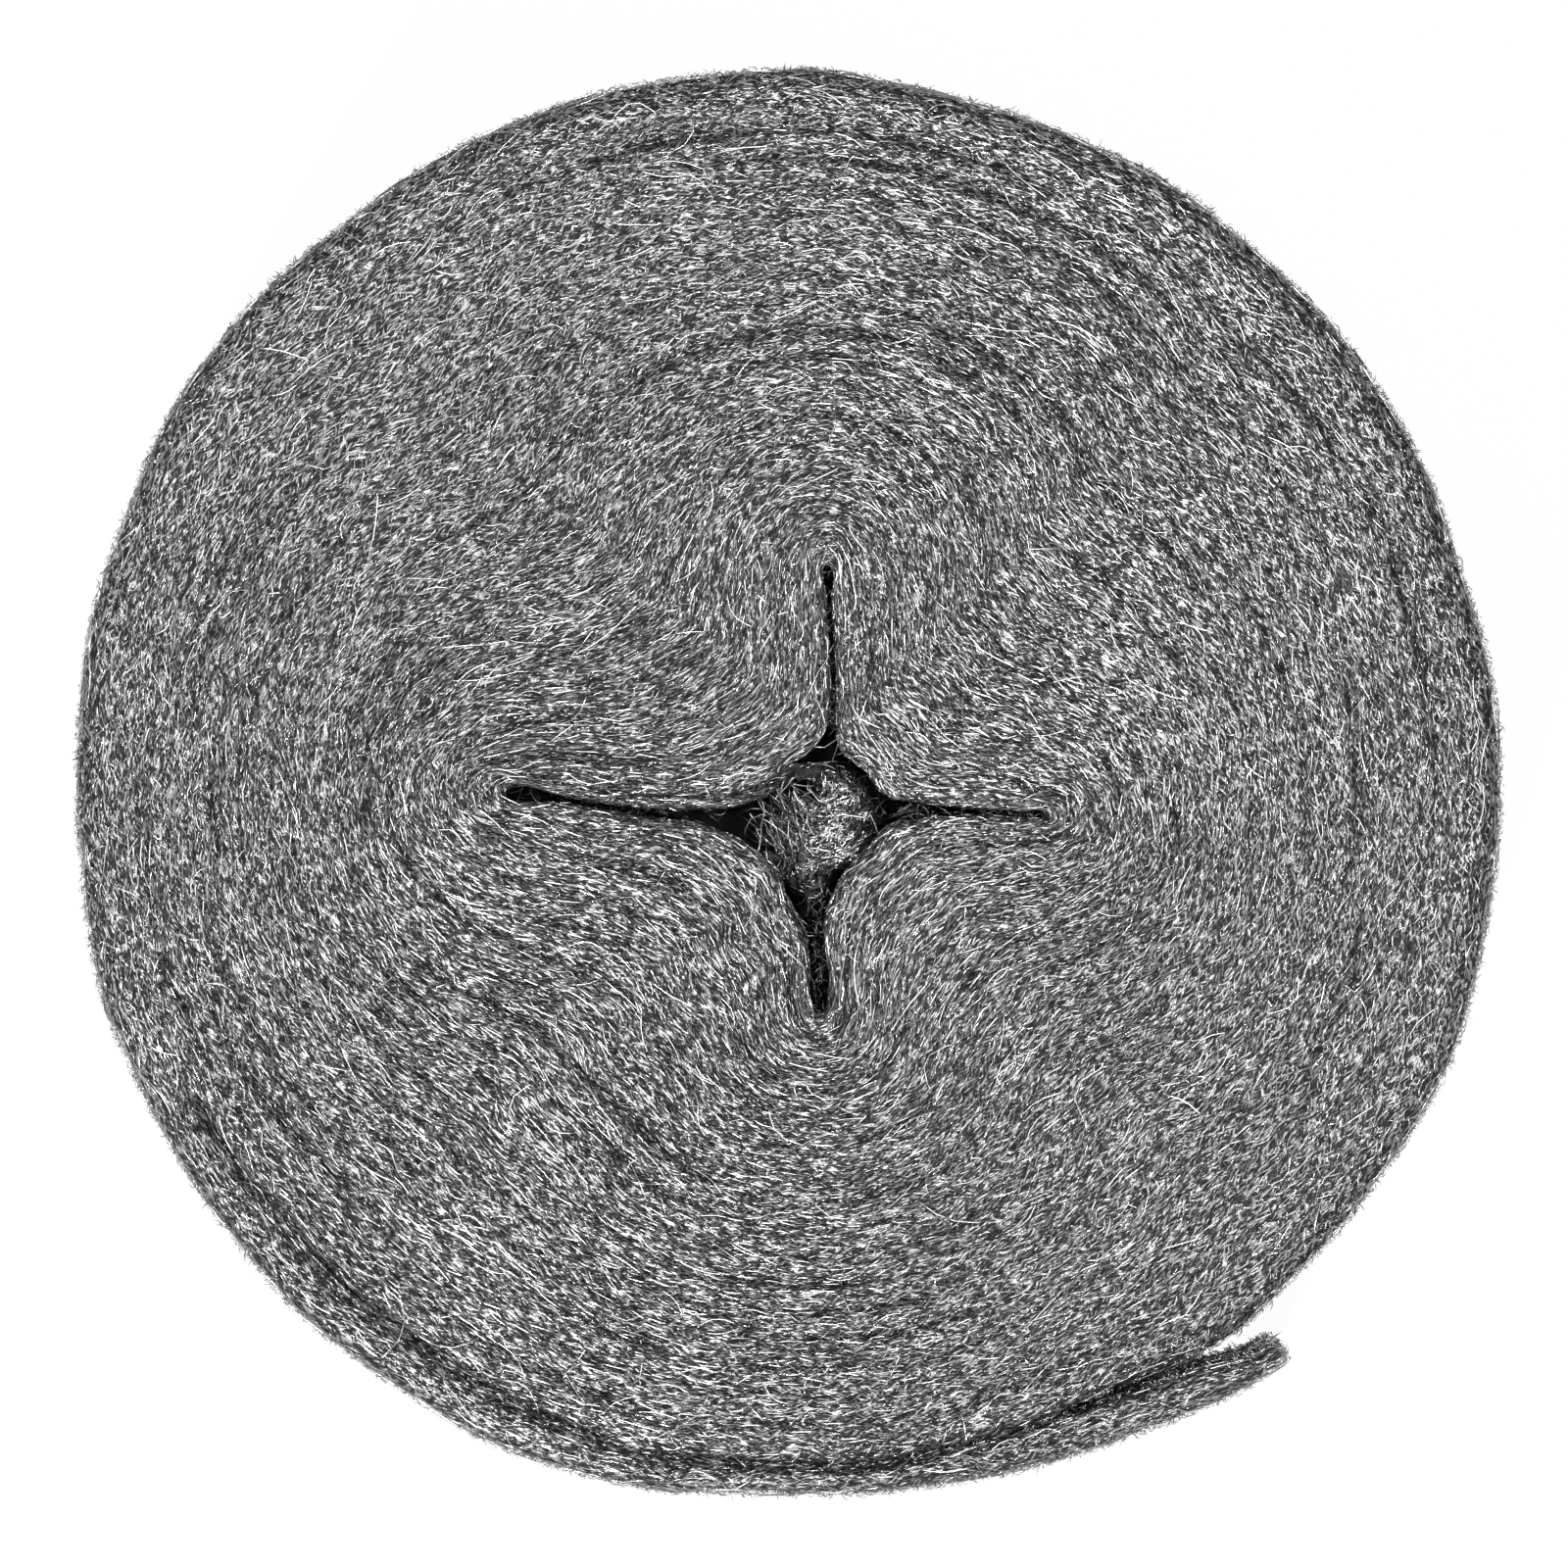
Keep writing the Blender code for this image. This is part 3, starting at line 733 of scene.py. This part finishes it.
def tangle(plan):
    """How tangled the strands lie: most at the upper left and the right, and in patches."""
    angle = np.angle(plan)
    upper_left = np.clip(np.cos(angle - math.radians(135.0)), 0.0, None) ** 2
    right = np.clip(np.cos(angle + math.radians(20.0)), 0.0, None) ** 2
    outward = smooth_step((np.abs(plan) - 0.016) / 0.020)
    patches = noise(plan.real / 0.009 + 30.0, plan.imag / 0.009 + 30.0, 77)
    return 0.65 * np.maximum(upper_left, 0.8 * right) * outward + 0.35 * patches


def spread_over_ribbon(count, rng):
    """Runs and shares across the ribbon spread evenly over the area of the end face: tried
    points are kept in proportion to the area that a step of both covers there."""
    run = rng.uniform(0.0, LAST_RUN - 0.1, count * 12)
    across = rng.uniform(0.0, 1.0, count * 12)
    small = 0.05
    inner, outer = ribbon_edges(run)
    inner_on, outer_on = ribbon_edges(run + small)
    by_run = (inner_on - inner) * (1.0 - across) + (outer_on - outer) * across
    area = np.abs((by_run.conjugate() * (outer - inner)).imag)
    kept = rng.uniform(0.0, 1.0, len(area)) * np.quantile(area, 0.9995) < area
    kept = np.flatnonzero(kept)[:count]
    return run[kept], across[kept]


def end_strands(layer, rng, top):
    """Strands of one layer of an end face, with their radius and tone. They lie straighter
    and longer where little is tangled, and shorter along the outside. Their tone carries painted
    shade near the outside, where the end face rounds over, and beside the lines between two turns."""
    count, stations, length, thick, lift, bright_share, dull_tone = layer
    run, across = spread_over_ribbon(count, rng)
    count = len(run)
    plan = on_ribbon(run, across, top)[0]
    tangled = tangle(plan)
    stray = rng.uniform(0.0, 1.0, count) < STRAY_SHARE + STRAY_MORE * tangled
    spread = np.where(stray, STRAY_TURN, TURN_SPREAD + TURN_MORE * tangled)
    turned = rng.normal(0.0, 1.0, count) * spread
    # nearness to the outside: it shortens the strands there and carries the rim's painted shade
    edge = smooth_step((np.abs(plan) - ROLL_RADIUS + EDGE_WIDTH) / EDGE_FADE)
    length = length * np.exp(rng.normal(0.0, LENGTH_SPREAD, count))
    length = length * (STRAIGHT_LENGTH - TANGLED_LESS * tangled) * (1.0 - EDGE_SHORTER * edge)
    length = np.clip(length, SHORTEST, LONGEST) * MM
    bend = rng.normal(0.0, BEND_SPREAD, count) * np.where(stray, STRAY_BEND, 1.0 + tangled)
    lifted = (lift + rng.uniform(*LIFT_RANGE, count)) * MM
    tilt = rng.normal(0.0, TILT_SPREAD, count)
    plan_t, height_t, rise = laid(
        lambda a, b: on_ribbon(a, b, top), run, across, (0.05, 0.01, 25.0),
        turned, length, bend, lifted, tilt, stations)
    z = height_t + rise if top else np.maximum(height_t - rise, roll_low[2] + 0.00005)
    path = np.stack([plan_t.real, plan_t.imag, z], axis=-1)
    radius = rng.uniform(0.7, 1.2, count) * 0.5 * MM * thick
    # painted shade: strands near the lines between two turns take a darker tone, for the groove's
    # shade
    line = np.where((run < 360.0) & (across < 0.5), 0.0, np.abs(2.0 * across - 1.0) ** 4)
    patches = noise(plan.real / 0.0035 + 10.0, plan.imag / 0.0035 + 10.0, 88) - 0.5
    streaks = noise(ribbon_length(run) / 0.012, (run / 360.0 + across) * 5.0, 89) - 0.5
    share = bright_share * (1.0 + 0.2 * patches + 0.5 * streaks)
    bright = rng.uniform(0.0, 1.0, count) < share
    toned = np.where(
        bright, rng.normal(*BRIGHT_TONE, count), rng.normal(dull_tone, DULL_SPREAD, count))
    # painted shade beside the turn lines and near the outside is taken off the tone
    return path, radius, np.clip(toned - LINE_PAINTED_SHADE * line - EDGE_PAINTED_SHADE * edge, 0.02, 1.0)


seed = 100
for top, layers in ((True, UPPER_LAYERS), (False, LOWER_LAYERS)):
    for layer_name, layer in layers.items():
        seed += 1
        add_strands(layer_name + "_strands", *end_strands(layer, np.random.default_rng(seed), top))


# Strands of the outside and of the star's walls. Here the ribbon shows its flat face, so the
# strands run level round the roll, long and nearly parallel, with some that stand off as
# loops and ends and make the outline fuzzy.

skin, walls = ribbon_rings[True], ribbon_rings[False]
flap_side = skin[2][-FLAP_COLUMNS - len(ACROSS)]   # how far round the flap's inner side begins
tall = roll_high[2] - roll_low[2]

WALL_LAYERS = {               # heights in metres, strands in millimetres, turns in radians
    "side_strands": dict(
        ring_data=skin, first=0.0, foot=roll_low[2] + 0.0015, reach=tall - 0.003, crowding=1.0,
        count=7000, stations=4, turned=0.16, length=(4.0, 0.4, 1.5, 10.0), out=(-0.25, 0.15),
        lean=0.08, loop=(0.05, 0.3), thick=(0.12, 0.18), tone=(0.58, 0.28)),
    "rim_strands": dict(
        ring_data=skin, first=0.0, foot=roll_high[2] - 0.0014, reach=-0.020, crowding=2.0,
        count=8000, stations=3, turned=0.9, length=(0.65, 0.35, 0.3, 1.6), out=(-0.2, 0.38),
        lean=0.22, loop=(0.0, 0.2), thick=(0.08, 0.13), tone=(0.5, 0.3)),
    "flap_strands": dict(
        ring_data=skin, first=flap_side, foot=roll_low[2] + 0.001, reach=tall - 0.0018,
        crowding=1.0, count=1500, stations=3, turned=0.9, length=(0.8, 0.35, 0.4, 2.0),
        out=(-0.1, 0.45), lean=0.28, loop=(0.0, 0.3), thick=(0.10, 0.15), tone=(0.6, 0.35)),
    "wall_strands": dict(
        ring_data=walls, first=0.0, foot=roll_high[2] - 0.0015, reach=-0.012, crowding=1.5,
        count=2200, stations=4, turned=0.5, length=(1.8, 0.4, 0.6, 4.0), out=(-0.15, 0.03),
        lean=0.1, loop=(0.0, 0.12), thick=(0.09, 0.13), tone=(0.35, 0.25)),
}


def strand_lengths(rng, count, usual, spread, least, most):
    """Lengths in metres round a usual one, with more below it than above."""
    return MM * np.clip(usual * np.exp(rng.normal(0.0, spread, count)), least, most)


def strand_looks(rng, count, thick, tone, dullest=0.05):
    """Radius and tone by the range of the thickness and the middle and spread of the tone."""
    radius = 0.5 * MM * rng.uniform(*thick, count)
    return radius, np.clip(rng.normal(*tone, count), dullest, 1.0)


def on_ring(ring_data, s, height, out):
    """Points by the distance along a closed plan ring, the height and the distance off it."""
    ring, side, length, low, high = ring_data
    s = s % length[-1]

    def along(values):
        return np.interp(s, length, np.append(values, values[0]))

    plan = along(ring.real) + 1j * along(ring.imag)
    off = along(side.real) + 1j * along(side.imag)
    plan = plan + off / np.maximum(np.abs(off), 1e-9) * out
    return np.stack([plan.real, plan.imag, np.clip(height, along(low), along(high))], axis=-1)


def ring_strands(ring_data, s, height, turned, length, out, lean, loop, stations):
    """Strands on an upright wall: level when turned is 0, out from it by a distance, leaning
    by another over their length, and bowed out in the middle by a third."""
    t = np.linspace(-1.0, 1.0, stations)
    half = (0.5 * length)[:, None] * t
    off = out[:, None] + lean[:, None] * t + loop[:, None] * (1.0 - t ** 2)
    return on_ring(ring_data, s[:, None] + np.cos(turned)[:, None] * half,
                   height[:, None] + np.sin(turned)[:, None] * half, off)


def wall_layer(rng, ring_data, first, foot, reach, crowding, count, stations, turned, length,
               out, lean, loop, thick, tone):
    """One layer of strands on an upright wall, from the way round where it begins. Heights go
    from foot over reach, and crowd at the foot as crowding grows."""
    s = rng.uniform(first, ring_data[2][-1], count)
    height = foot + reach * rng.uniform(0.0, 1.0, count) ** crowding
    path = ring_strands(
        ring_data, s, height, rng.normal(0.0, turned, count),
        strand_lengths(rng, count, *length), MM * rng.uniform(*out, count),
        MM * rng.normal(0.0, lean, count), MM * rng.uniform(*loop, count), stations)
    return path, *strand_looks(rng, count, thick, tone)


rng = np.random.default_rng(301)
for layer_name, layer in WALL_LAYERS.items():
    add_strands(layer_name, *wall_layer(rng, **layer))


# The tuft's own strands and the stray ones of the hollow. The ribbon's start is bunched up and
# crushed, so its strands lie across each other, and single ones bridge the gaps round it. The
# longest strands of the end face lie over everything.

TUFT_STRANDS = 3400
BRIDGES = 320                 # across the gaps round the tuft
SLIT_STRANDS = 420            # deep in the four slits
LONG_STRANDS = 1200

LEFT_SHARE = 0.65             # of the bridges lie left of the tuft, along the lobe
LEFT_GAP = -0.0028 - 0.0018j  # middle of that gap, from the star's centre
LEFT_SPREAD, BRIDGE_SPREAD = 0.0013, 0.0034        # metres there, and of the other bridges
SLIT_FROM, SLIT_TO = 0.32, 0.97                    # shares of a slit's length
SLIT_SPREAD = 0.0004          # metres off its middle
SLIT_SHORTER, SLIT_PAINTED_SHADE = 0.55, 0.5              # times the bridges' lengths and tones; the lower tone is painted shade deep in the slits


def laid_layer(rng, surface, u, v, steps, stations, length, turned, bend, lift, tilt, thick,
               tone, dullest):
    """One layer laid over a surface through given points, with its radius and tone. turned
    and tone are a middle and a spread, lift and thick are ranges, bend and tilt spreads."""
    count = len(u)
    length = strand_lengths(rng, count, *length)
    plan, height, rise = laid(
        surface, u, v, steps, rng.normal(*turned, count), length, rng.normal(0.0, bend, count),
        MM * rng.uniform(*lift, count), rng.normal(0.0, tilt, count), stations)
    path = np.stack([plan.real, plan.imag, height + rise], axis=-1)
    return path, *strand_looks(rng, count, thick, tone, dullest)


def bridging_layer(rng):
    """Stray strands of the hollow: those that cross the gaps round the tuft, and shorter ones
    that follow the middle of each slit, at a lower tone as painted shade deep in the slits."""
    left = rng.uniform(0.0, 1.0, BRIDGES) < LEFT_SHARE
    around = rng.normal(0.0, 1.0, BRIDGES) + 1j * rng.normal(0.0, 1.0, BRIDGES)
    middle = np.where(left, LEFT_SPREAD * around + LEFT_GAP, BRIDGE_SPREAD * around)
    ahead = np.where(left, rng.normal(-0.9, 0.5, BRIDGES), rng.uniform(0.0, math.pi, BRIDGES))
    quarter = rng.integers(0, 4, SLIT_STRANDS)
    share = rng.uniform(SLIT_FROM, SLIT_TO, SLIT_STRANDS)
    slit_length, tilt, bow = (
        np.array(values)[quarter] for values in (SLIT_LENGTHS, SLIT_TILTS, SLIT_BENDS))
    aside = tilt * share + bow * np.sin(math.pi * share) ** 2
    aside = aside + rng.normal(0.0, SLIT_SPREAD, SLIT_STRANDS)
    in_slit = 1j ** quarter * (slit_length * share + 1j * aside)
    middle = STAR_CENTRE + np.concatenate([middle, in_slit])
    along_slit = quarter * math.pi / 2.0 + rng.normal(0.0, 0.8, SLIT_STRANDS)
    ahead = np.exp(1j * np.concatenate([ahead, along_slit]))
    count = BRIDGES + SLIT_STRANDS
    deep = np.arange(count) >= BRIDGES
    length = strand_lengths(rng, count, 2.6, 0.4, 1.2, 6.0) * np.where(deep, SLIT_SHORTER, 1.0)
    t = np.linspace(-1.0, 1.0, 5)
    bend = rng.normal(0.0, 0.35, count)
    arc = t + 1j * bend[:, None] * (t ** 2 - 0.33)
    plan = middle[:, None] + ahead[:, None] * length[:, None] * 0.5 * arc
    depth = MM * np.concatenate([
        rng.uniform(3.2, 9.0, BRIDGES), rng.uniform(2.4, 9.0, SLIT_STRANDS)])
    slope = rng.normal(0.0, 0.2, count)
    height = roll_high[2] - depth[:, None] + (slope * length)[:, None] * t * 0.5
    radius, tone = strand_looks(rng, count, (0.09, 0.14), (0.42, 0.25))
    path = np.stack([plan.real, plan.imag, height], axis=-1)
    # painted shade: strands deep in the slits take half the tone
    return path, radius, tone * np.where(deep, SLIT_PAINTED_SHADE, 1.0)


rng = np.random.default_rng(401)
t, across = rng.uniform(0.02, 0.98, TUFT_STRANDS), rng.uniform(-0.15, 1.15, TUFT_STRANDS)
add_strands("tuft_strands", *laid_layer(
    rng, lambda a, b: on_tuft(a, b, True), t, across, (0.01, 0.01, 0.2), stations=4,
    length=(1.4, 0.45, 0.6, 4.0), turned=(-0.5, 0.6), bend=0.3, lift=(0.0, 0.8), tilt=0.12,
    thick=(0.10, 0.15), tone=(0.40, 0.80), dullest=0.03))

add_strands("bridging_strands", *bridging_layer(rng))

run, across = spread_over_ribbon(LONG_STRANDS, rng)
add_strands("long_strands", *laid_layer(
    rng, lambda a, b: on_ribbon(a, b, True), run, across, (0.05, 0.01, 40.0), stations=6,
    length=(3.4, 0.35, 1.8, 8.0), turned=(0.0, 0.35), bend=0.35, lift=(0.18, 0.4), tilt=0.05,
    thick=(0.09, 0.14), tone=(0.85, 0.2), dullest=0.3))


# Floor, light and camera: the roll stands on a plain white surface under soft light, and the
# camera looks straight down its axis.

PHOTO_PIXELS = 1600
PIXEL = 0.07602e-3                                 # metres a pixel at the upper end face
FRAME_WIDTH = PHOTO_PIXELS * PIXEL
CAMERA_HEIGHT = 5.0                                # above the upper end face
CAMERA_Y = -2.0 * PIXEL
SENSOR = 36.0
FLOOR_SIZE = 12.0
FLOOR_TONE, FLOOR_ROUGHNESS = 0.9, 0.9
GLOW = 0.96                                        # share of the floor that is plain white
COVERED = 0.052                                    # radius of the floor under the roll
SURROUND = 0.22                                    # grey of the surroundings
LAMPS = {                                          # side, watts, place
    "key_lamp": (0.30, 24.0, (-0.35, -0.80, 0.85)),
    "top_lamp": (0.6, 17.0, (0.15, 0.25, 1.35)),
}


def white_surface():
    """Matt white. Seen directly or in a reflection it is mostly plain white, and the rest
    takes the light, so that the roll keeps its soft shadow. Where the roll covers it, by the
    distance from the axis, no white is added, so it is dark at the bottom of the hollow."""
    material, tree, shader = new_material("white_floor")
    shader.inputs["Base Color"].default_value = grey(FLOOR_TONE)
    shader.inputs["Roughness"].default_value = FLOOR_ROUGHNESS
    ray = tree.nodes.new("ShaderNodeLightPath")
    seen = Node(tree, ray.outputs["Is Camera Ray"])
    for other in ("Is Glossy Ray", "Is Transmission Ray"):
        seen = seen.math("MAXIMUM", seen, Node(tree, ray.outputs[other]))
    spot = Node(tree, tree.nodes.new("ShaderNodeTexCoord").outputs["Object"])
    radius = spot.node("ShaderNodeVectorMath", {"operation": "LENGTH"}, {0: spot}, 1)
    seen = seen * radius.math("GREATER_THAN", radius, COVERED)
    glow = tree.nodes.new("ShaderNodeEmission")
    blend = tree.nodes.new("ShaderNodeMixShader")
    (seen * GLOW).into(blend, 0)
    tree.links.new(shader.outputs[0], blend.inputs[1])
    tree.links.new(glow.outputs[0], blend.inputs[2])
    tree.links.new(blend.outputs[0], tree.nodes["Material Output"].inputs["Surface"])
    return material


bpy.ops.mesh.primitive_plane_add(size=FLOOR_SIZE, location=(0.0, 0.0, roll_low[2]))
floor = bpy.context.object
floor.name = "floor"
floor.data.materials.append(white_surface())

world = bpy.data.worlds.new("studio")
bpy.context.scene.world = world
world.use_nodes = True
world.node_tree.nodes["Background"].inputs["Color"].default_value = grey(SURROUND)


def soft_lamp(name, size, power, spot):
    """Square soft lamp that points at the middle of the upper end face."""
    lamp = bpy.data.lights.new(name, "AREA")
    lamp.size = size
    lamp.energy = power
    thing = bpy.data.objects.new(name, lamp)
    bpy.context.scene.collection.objects.link(thing)
    thing.location = spot
    x, y, z = spot[0], spot[1], spot[2] - roll_high[2]
    thing.rotation_euler = (math.atan2(math.hypot(x, y), z), 0.0, math.atan2(y, x) + math.pi / 2.0)


for lamp_name, lamp_values in LAMPS.items():
    soft_lamp(lamp_name, *lamp_values)

camera = bpy.data.cameras.new("camera")
camera.sensor_width = SENSOR
camera.lens = SENSOR * CAMERA_HEIGHT / FRAME_WIDTH
eye = bpy.data.objects.new("camera", camera)
bpy.context.scene.collection.objects.link(eye)
eye.location = (0.0, CAMERA_Y, roll_high[2] + CAMERA_HEIGHT)
bpy.context.scene.camera = eye
bpy.context.scene.view_settings.view_transform = "Standard"
